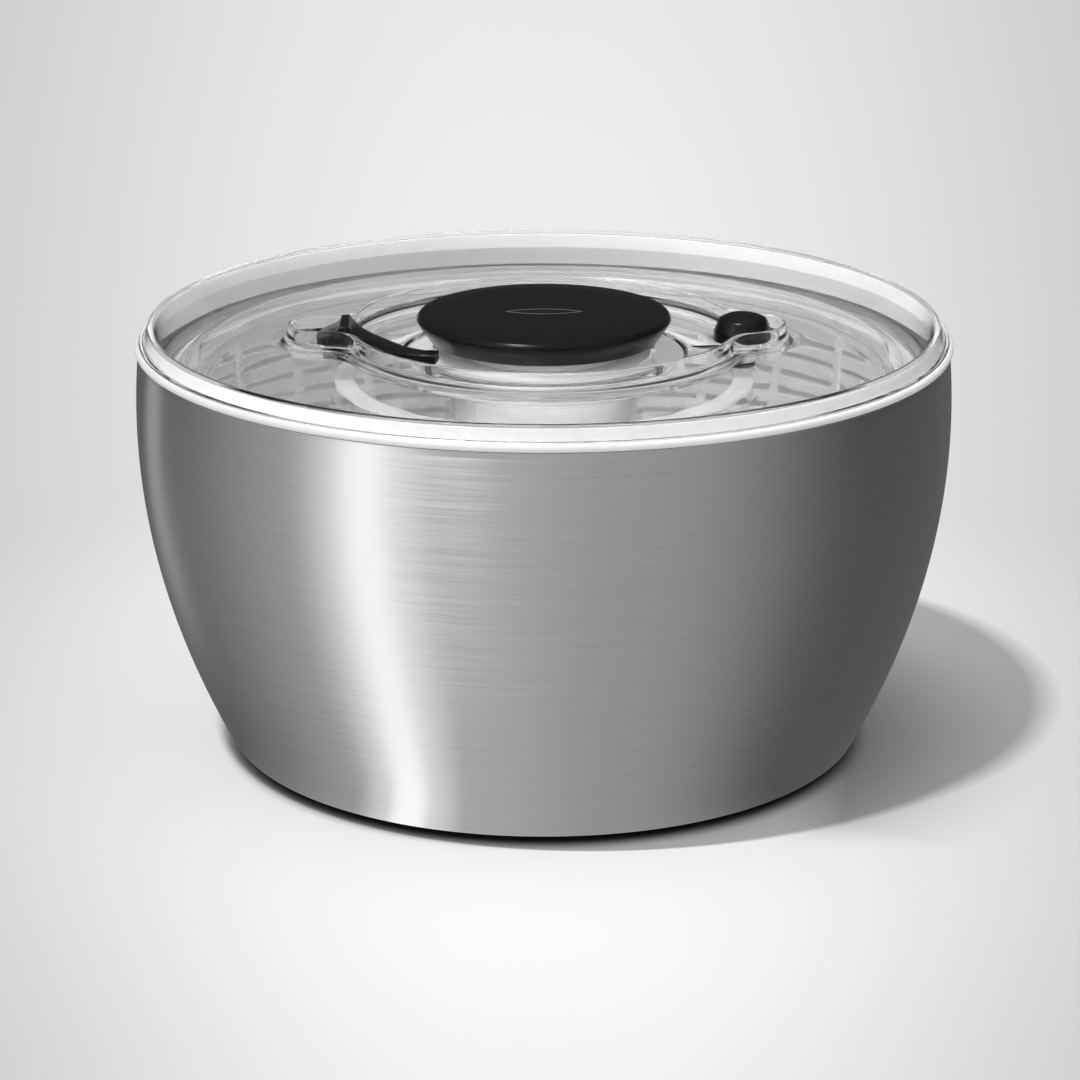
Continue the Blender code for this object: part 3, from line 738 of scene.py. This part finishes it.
def make_lock():
    """The slide lock: a thumb pad with a peaked ridge, and an arm that curves to the knob.

    A station is the front edge (x, y), the back edge (x, y) and the height of the top.
    """
    stations = [(-74.2, -3.6, -74.2, 0.6, 136.4), (-73.6, -6.6, -73.6, 3.6, 137.2),
                (-72.2, -8.9, -72.2, 5.9, 137.9), (-70.4, -9.9, -70.4, 6.9, 138.6),
                (-68.4, -10.0, -68.4, 7.0, 139.4), (-67.2, -10.0, -67.2, 7.0, 140.3),
                (-66.5, -10.0, -66.5, 7.0, 141.7), (-66.0, -10.0, -66.0, 7.0, 142.0),
                (-64.0, -10.0, -64.0, 7.0, 142.0), (-63.4, -10.0, -63.4, 7.0, 141.6),
                (-62.2, -10.1, -61.8, 5.6, 139.9), (-60.2, -10.8, -59.4, 2.2, 138.9),
                (-57.2, -12.8, -56.2, -3.2, 138.6), (-54.4, -16.8, -52.4, -9.6, 138.7),
                (-51.8, -21.8, -48.4, -15.6, 138.7), (-48.4, -26.2, -44.9, -20.6, 138.7),
                (-44.4, -29.8, -41.4, -24.0, 138.7), (-39.8, -31.8, -37.8, -26.0, 138.6),
                (-37.4, -32.4, -36.0, -25.4, 138.5), (-34.6, -32.6, -33.6, -25.9, 138.5)]
    low_pad, low_arm = TRAY_FLOOR + 0.4, 135.4
    arc = [math.radians(90.0 * k / 5) for k in range(1, 5)]
    rings = []
    for fx, fy, bx, by, top in smooth_between(stations, 6):
        front, back = Vector((fx, fy)), Vector((bx, by))
        width = (back - front).length
        ease = min(max((fx + 60.0) / 4.0, 0.0), 1.0)
        ease = ease * ease * (3 - 2 * ease)
        low = low_pad + (low_arm - low_pad) * ease
        edge = min(1.0, width * 0.2)
        lift = 2.6 - 2.3 * ease
        cut = min(4.0 - 3.7 * ease, width * 0.3)
        across = [(0.0, low + lift), (cut, low), (width - cut, low), (width, low + lift),
                  (width, top - edge)]
        across += [(width - edge + edge * math.cos(a), top - edge + edge * math.sin(a))
                   for a in arc]
        across += [(width - edge, top), (width * 0.5, top), (edge, top)]
        across += [(edge - edge * math.sin(a), top - edge + edge * math.cos(a)) for a in arc]
        across.append((0.0, top - edge))
        along = (back - front).normalized()
        rings.append([(*(front + along * s), z) for s, z in across])
    slider = finish_mesh("slide_lock", loft(rings, closed=False), PART_BLACK.mat, "lock", 50.0)
    stem_x, half_x, half_y = -68.0, 3.4, 2.0
    corners = [(stem_x - half_x, LOCK_Y - half_y), (stem_x + half_x, LOCK_Y - half_y),
               (stem_x + half_x, LOCK_Y + half_y), (stem_x - half_x, LOCK_Y + half_y)]
    stem = loft([[(x, y, z) for x, y in corners] for z in (128.4, low_pad + 0.6)], closed=False)
    stem = finish_mesh("slide_lock_stem", stem, PART_BLACK.mat, "lock")
    combine(slider, stem, "UNION")
    stand_for(slider, "black_plastic", "lock_slider")


def make_brake():
    """The button, its rod and shoe, the sleeve that guides the rod, and its spring."""
    top, bottom = top_of("brake_button"), bottom_of("brake_button")
    dome = [(0.0, top), (5.0, top - 0.1, 3.0), (7.9, top - 1.3, 2.2), (9.3, top - 5.2, 3.0),
            (9.7, bottom, 0.4), (8.3, bottom, 0.3), (8.0, 138.0, 1.0), (6.9, 141.4, 0.8),
            (0.0, 141.4)]
    button = turned("brake_button_cap", rounded(dome, 8), PART_BLACK.mat, "brake", 96, x=BRAKE_X)
    stand_for(button, "black_plastic", "brake_button")
    rod = [(0.0, 126.9), (4.0, 126.9, 0.4), (4.0, 141.1, 0.6), (0.0, 141.1)]
    plunger = turned("brake_rod", rounded(rod), WHITE, "brake", 64, x=BRAKE_X)
    stand_for(plunger, "white_plastic", "brake_plunger")
    shoe = [(0.0, 125.2), (4.1, 125.2, 0.6), (4.1, 126.6, 0.3), (0.0, 126.6)]
    pad = turned("brake_shoe", rounded(shoe), RUBBER.mat, "brake", 64, x=BRAKE_X)
    stand_for(pad, "dark_rubber", "brake_pad")
    sleeve = [(4.5, 127.6, 0.2), (6.0, 127.6, 0.4), (6.0, 130.1, 0.2), (4.5, 130.1, 0.2)]
    guide = turned("brake_sleeve", rounded(sleeve), WHITE, "lid", 64, x=BRAKE_X)
    stand_for(guide, "white_plastic", "brake_guide")
    spring = coil("button_spring", 5.8, 0.45, 132.5, 141.1, 3.5, WIRE, "brake", x=BRAKE_X)
    stand_for(spring, "spring_steel", "brake_spring")
    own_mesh(spring)


# ---------------------------------------------------------------- turntable and basket

def make_turntable():
    """The clear disc with a deep cup in the middle, and the track that the brake presses on."""
    corners = [(4.5, 86.0, 0.3), (31.2, 86.0, 2.0), (31.2, DISC_TOP, 1.2), (72.0, DISC_TOP, 8.0),
               (108.0, 124.2, 6.0), (113.0, 126.6, 1.2), (119.0, 126.8, 0.6),
               (119.8, 124.8, 0.3), (116.3, 124.4, 0.4), (116.1, 119.4, 0.5),
               (114.6, 119.4, 0.5), (112.2, 124.2, 1.0), (108.0, 122.4, 5.0),
               (72.0, DISC_TOP - 1.8, 8.0), (32.8, DISC_TOP - 1.8, 1.6), (32.8, 84.2, 1.6),
               (4.5, 84.2, 0.3)]
    disc = turned("clear_turntable", rounded(corners), CLEAR_TABLE, "turntable", 288)
    stand_for(disc, "clear_plastic", "turntable_disc")
    ring = [(61.8, DISC_TOP + 0.3), (68.7, DISC_TOP + 0.3), (68.7, 122.2, 0.4),
            (61.8, 122.2, 0.4)]
    track = turned("brake_track", rounded(ring), TRACK, "turntable", 256)
    stand_for(track, "pale_seal", "brake_ring")


def basket_radius(z):
    """Radius of the basket's outside at a height: the bowl's, less a gap that narrows upwards."""
    return bowl_radius(z) - BASKET_GAP + 0.012 * (z - 28.0)


def basket_rows():
    """The basket's profile from its hub to its rim, as (r, z, whether a slot row follows)."""
    rows = [(8.8, 16.8, False), (8.8, BASKET_FLOOR, False), (22.0, BASKET_FLOOR, False)]
    radius, floor_pitch, floor_opening = 30.0, 9.0, 4.0
    while radius < 86.0:
        rows += [(radius, BASKET_FLOOR, True), (radius + floor_opening, BASKET_FLOOR, False)]
        radius += floor_pitch
    corner_r, corner_z, size = 87.0, BASKET_FLOOR + BASKET_CORNER_R, BASKET_CORNER_R
    rows.append((corner_r, BASKET_FLOOR, False))
    for i in range(1, 6):
        angle = math.radians(-90.0 + 80.0 * i / 5)
        rows.append((corner_r + size * math.cos(angle), corner_z + size * math.sin(angle), False))
    first, last, pitch, opening = 31.0, 116.0, 6.7, 2.4
    z = first
    while z + opening < last:
        rows += [(basket_radius(z), z, True), (basket_radius(z + opening), z + opening, False)]
        z += pitch
    rows += [(basket_radius(119.0), 119.0, False), (119.8, 120.9, False), (120.4, 121.8, False),
             (120.4, BASKET_TOP, False)]
    return rows


def make_basket():
    """A thin skin with level slots between upright ribs, thickened inwards."""
    rib, shoulder, rise = 1.0, 0.3, 0.7  # half a rib and its shoulder in degrees, its height
    angles, proud, opening = [], [], []
    period = 360.0 / RIBS
    slot_steps = 5
    for i in range(RIBS):
        middle = FIRST_RIB_DEG + period * i
        for step, lift in ((-rib, 0.0), (-rib + shoulder, rise), (rib - shoulder, rise)):
            angles.append(math.radians(middle + step))
            proud.append(lift)
            opening.append(False)
        for k in range(slot_steps):
            angles.append(math.radians(middle + rib + (period - 2 * rib) * k / slot_steps))
            proud.append(0.0)
            opening.append(True)
    rows = basket_rows()
    bm = bmesh.new()
    hub = bm.verts.new((0.0, 0.0, rows[0][1]))
    grid = []
    for r, z, _ in rows:
        side = min(max((z - 16.0) / 10.0, 0.0), 1.0) * min(max((120.0 - z) / 3.0, 0.0), 1.0)
        grid.append([bm.verts.new(((r - lift * side) * math.cos(a),
                                   (r - lift * side) * math.sin(a), z))
                     for a, lift in zip(angles, proud)])
    count = len(angles)
    for i in range(count):
        j = (i + 1) % count
        bm.faces.new((hub, grid[0][j], grid[0][i]))
        for k in range(len(rows) - 1):
            if rows[k][2] and opening[i]:
                continue
            bm.faces.new((grid[k][i], grid[k][j], grid[k + 1][j], grid[k + 1][i]))
    basket = finish_mesh("slotted_basket", bm, BASKET_MAT, "basket")
    skin = basket.modifiers.new("thickness", "SOLIDIFY")
    skin.thickness = BASKET_T * MM
    skin.offset = 1.0
    edge = basket.modifiers.new("soft_edges", "BEVEL")
    edge.width = 0.35 * MM
    edge.segments = 2
    edge.limit_method = "ANGLE"
    edge.angle_limit = math.radians(50)
    apply_modifiers(basket)
    basket.data.shade_smooth()
    basket.data.set_sharp_from_angle(angle=math.radians(45))
    stand_for(basket, "frosted_plastic", "basket")


# ---------------------------------------------------------------- pieces that keep their solids

KEPT = {
    "spindle_bush": BEARING, "housing_screw_1": WIRE, "housing_screw_2": WIRE,
    "housing_screw_3": WIRE, "drive_nut": BEARING, "drive_spindle": WIRE, "spindle_clip": WIRE,
    "clutch_pawls": WHITE, "ratchet_ring": WHITE, "axle_screw": WIRE, "pivot_cup": WHITE,
    "lock_clip": WHITE,
}


def dress_kept_nodes():
    """Gives the small hidden pieces their materials."""
    for name, mat in KEPT.items():
        mesh = nodes[name].data
        mesh.materials.clear()
        mesh.materials.append(mat)


# ---------------------------------------------------------------- stage

# Shades that mirrors see, as light from the world and as a painted reflection glowing on the
# floor: the azimuth from the front (minus is left), the angles off it at which a shade starts and
# is full, and its greys at those two angles.
FRONT = (-8.0, 105.0, 12.0, 0.155, 0.55)
FRONT_SKY = (-8.0, 115.0, 12.0, 0.07, 0.6)
STRIP = (-50.0, 22.0, 1.0, 0.0, 0.6)
STRIP_CORE = (-50.0, 9.0, 0.0, 0.0, 0.62)
SIDE_GLOW = (-60.0, 85.0, 18.0, 0.0, 0.2)
BEHIND = (-134.0, 7.5, 1.5, 0.0, 0.42)
SKY_GREY = 0.58
MIRRORED_SKY = 0.43
SKY_TOP = (0.55, 0.95)  # the sine of the height over which the shades give way to an even sky
FLOOR_GREY = 0.83
FLOOR_R = 9.0
FLOOR_PAINTED_FALLOFF = 0.66  # how much of its grey the floor keeps far to either side, where painted light falls off
FLOOR_PAINTED_LIGHT_RING = (0.13, 0.32, 1.17)  # painted light round the bowl: from which radius to which it gets less pale, and how pale
BOWL_FOOT = 0.12
BOWL_EDGE = 0.1
CORNER_SHADE = (0.075, 0.5)  # how wide and how dark the floor's shade at the bowl's foot is
UNDER_SHADE = (0.01, 0.05)  # the same for the floor under the bowl
LIT_LEFT = (0.07, 0.13)  # left of this x the foot has no shade
LIT_FRONT = (-0.11, -0.05)  # and none in front of this y
# Ray depths that only the first mirror ray stays below. The world counts one step more.
SURFACE_DEPTH = 1.5
WORLD_DEPTH = 2.5


def first_mirror(shades, last_depth):
    """1 for a ray that comes straight from a mirroring surface that the eye sees, or else 0."""
    path = shades.tree.nodes.new("ShaderNodeLightPath")
    outside = shades.math("SUBTRACT", 1.0, path.outputs["Is Transmission Ray"])
    first = shades.math("LESS_THAN", path.outputs["Ray Depth"], last_depth)
    return shades.math("MULTIPLY", path.outputs["Is Glossy Ray"],
                       shades.math("MULTIPLY", outside, first))


def make_world():
    """An even pale sky, which mirrors show dim behind and bright at the front left."""
    world = bpy.data.worlds.new("studio")
    bpy.context.scene.world = world
    world.use_nodes = True
    tree = world.node_tree
    shades = Shades(tree)
    x, y, z = shades.axes("Generated")
    low = shades.around(x, y, (FRONT_SKY, STRIP, STRIP_CORE, SIDE_GLOW))
    above = shades.step(z, *SKY_TOP, 0.0, 1.0)
    mirrored = shades.math("ADD", shades.math("MULTIPLY", low,
                                              shades.math("SUBTRACT", 1.0, above)),
                           shades.math("MULTIPLY", above, MIRRORED_SKY))
    fac = first_mirror(shades, WORLD_DEPTH)
    grey = shades.math("ADD", shades.math("MULTIPLY", fac, mirrored),
                       shades.math("MULTIPLY", shades.math("SUBTRACT", 1.0, fac), SKY_GREY))
    tree.links.new(grey, tree.nodes["Background"].inputs["Strength"])
    tree.nodes["Background"].inputs["Color"].default_value = (1.0, 1.0, 1.0, 1.0)
    world.cycles.sampling_method = "NONE"


def make_floor():
    """A wide pale floor with painted light, paler round the bowl and dimming to both sides,
    painted shade at the bowl's foot, and a painted reflection of the studio's greys that only
    mirrors see.
    """
    bm = bmesh.new()
    bmesh.ops.create_circle(bm, cap_ends=True, segments=96, radius=FLOOR_R)
    mesh = bpy.data.meshes.new("floor")
    bm.to_mesh(mesh)
    bm.free()
    floor = add_object("floor", mesh)
    m = Nodes("pale_floor_painted_light_and_shade")
    shades = Shades(m.tree)
    x, y, _ = shades.axes("Object")
    away = shades.length(x, y)
    # what the steel mirrors: a painted reflection, greys that the floor glows with for the first
    # mirror ray only
    near = shades.math("POWER", shades.math("DIVIDE", BOWL_FOOT,
                                            shades.math("MAXIMUM", away, BOWL_FOOT)), 1.5)
    behind = shades.math("MULTIPLY", shades.around(x, y, (BEHIND,), near),
                         shades.step(away, BOWL_FOOT, 0.25, 0.0, 1.0))
    grey = shades.math("ADD", behind,
                       shades.around(x, y, (FRONT, STRIP, STRIP_CORE, SIDE_GLOW), near))
    # what the eye sees: painted light, paler in the middle, wider so further back
    depth = shades.math("MULTIPLY_ADD", shades.math("MAXIMUM", y, -0.5), 1.12, 1.27)
    aside = shades.math("DIVIDE", shades.math("ABSOLUTE", x), depth)
    pale = shades.step(aside, 0.01, 0.21, FLOOR_GREY, FLOOR_GREY * FLOOR_PAINTED_FALLOFF)
    # painted light: paler still close round the bowl
    pale = shades.math("MULTIPLY", pale, shades.step(away, *FLOOR_PAINTED_LIGHT_RING, 1.0))
    # painted shade: darker close to the bowl, apart from its lit side, and a painted shadow nearly
    # black under it
    width, grey_there = CORNER_SHADE
    corner = shades.step(away, BOWL_EDGE, BOWL_EDGE + width, grey_there, 1.0)
    lit = shades.math("MAXIMUM", shades.step(x, *LIT_LEFT, 1.0, 0.0),
                      shades.step(y, *LIT_FRONT, 1.0, 0.0))
    corner = shades.math("MAXIMUM", corner, lit)
    width, grey_there = UNDER_SHADE
    under = shades.step(away, BOWL_EDGE, BOWL_EDGE + width, grey_there, 1.0)
    pale = shades.math("MULTIPLY", pale, shades.math("MULTIPLY", corner, under))
    colour = m.add("ShaderNodeCombineColor")
    for slot in colour.inputs:
        m.link(pale, slot)
    m.link(colour.outputs["Color"], m.shader.inputs["Base Color"])
    m.set(Roughness=0.7, Specular_IOR_Level=0.1)
    # painted reflection: for the first mirror ray the floor glows with these greys instead of
    # showing its lit colour
    mirror = m.add("ShaderNodeEmission")
    m.link(grey, mirror.inputs["Strength"])
    m.swap_surface(first_mirror(shades, SURFACE_DEPTH), mirror.outputs["Emission"])
    m.mat.cycles.emission_sampling = "NONE"
    mesh.materials.append(m.mat)


LAMP_TARGET = Vector((0.0, 0.0, 0.08))
# A lamp's size in metres, its watts, the direction in which it stands and its distance
KEY_LAMP = ((0.9, 0.12), 775.0, (-0.268, -0.284, 0.921), 12.0)
RIM_LAMP = ((0.08, 0.05), 0.2, (0.0, -0.8, 0.6), 0.13)
FILL_SIZE, FILL_WAY, FILL_DISTANCE = (3.0, 2.0), (0.0, -0.9, 0.43), 5.0
# A fill lamp's name, its watts and the pieces that it lights
FILLS = (
    ("inside", 150.0, ("milky_housing", "notched_collar", "white_pump_core", "brake_rod",
                       "brake_sleeve", "clear_turntable", "brake_track")),
    ("basket", 60.0, ("slotted_basket",)),
)


def make_lamp(name, size, energy, way, distance):
    """An oblong lamp off in one direction, turned to the bowl, with its long side level."""
    lamp = bpy.data.lights.new(name, "AREA")
    lamp.shape = "RECTANGLE"
    lamp.size, lamp.size_y = size
    lamp.energy = energy
    item = add_object(name, lamp)
    back = Vector(way).normalized()
    item.location = LAMP_TARGET + back * distance
    side = (Vector((1.0, 0.0, 0.0)) - back * back.x).normalized()
    item.rotation_euler = Matrix((side, back.cross(side), back)).transposed().to_euler()
    return item


def light_only(lamp, name, pieces):
    """Lets a lamp shine on some pieces and nothing else."""
    lit = bpy.data.collections.new(name)
    for piece in pieces:
        lit.objects.link(bpy.data.objects[piece])
    lamp.light_linking.receiver_collection = lit


def make_stage():
    """The floor, the world, a key lamp high on the front left, and fills for the inside."""
    make_floor()
    make_world()
    make_lamp("key", *KEY_LAMP)
    for name, watts, pieces in FILLS:
        fill = make_lamp(name + "_fill", FILL_SIZE, watts, FILL_WAY, FILL_DISTANCE)
        fill.visible_glossy = False
        light_only(fill, name, pieces)
    rim = make_lamp("rim_fill", *RIM_LAMP)
    rim.visible_camera = rim.visible_glossy = rim.visible_transmission = False
    light_only(rim, "rim", ("rim_seal",))


def make_camera():
    """A long lens in front of the bowl, a little above it."""
    focal_mm, sensor_mm = 118.8, 36.0
    distance, elevation = 1.188, math.radians(17.76)
    target = Vector((-0.00127, 0.0, 0.0662))
    lens = bpy.data.cameras.new("camera")
    lens.lens = focal_mm
    lens.sensor_width = sensor_mm
    camera = add_object("camera", lens)
    away = Vector((0.0, -math.cos(elevation), math.sin(elevation)))
    camera.location = target + away * distance
    camera.rotation_euler = (-away).to_track_quat("-Z", "Y").to_euler()
    bpy.context.scene.camera = camera


def set_view():
    """Plain tones, and enough bounces for light to find its way through the clear pieces."""
    scene = bpy.context.scene
    scene.view_settings.view_transform = "Standard"
    scene.cycles.use_denoising = True
    scene.cycles.max_bounces = 24
    scene.cycles.transmission_bounces = 20
    scene.cycles.transparent_max_bounces = 24
    scene.cycles.glossy_bounces = 8
    scene.cycles.sample_clamp_indirect = 6.0


make_bowl()
make_lid_shell()
make_gasket()
make_housing()
make_collar()
make_pump()
make_lock()
make_brake()
make_turntable()
make_basket()
dress_kept_nodes()
make_stage()
make_camera()
set_view()
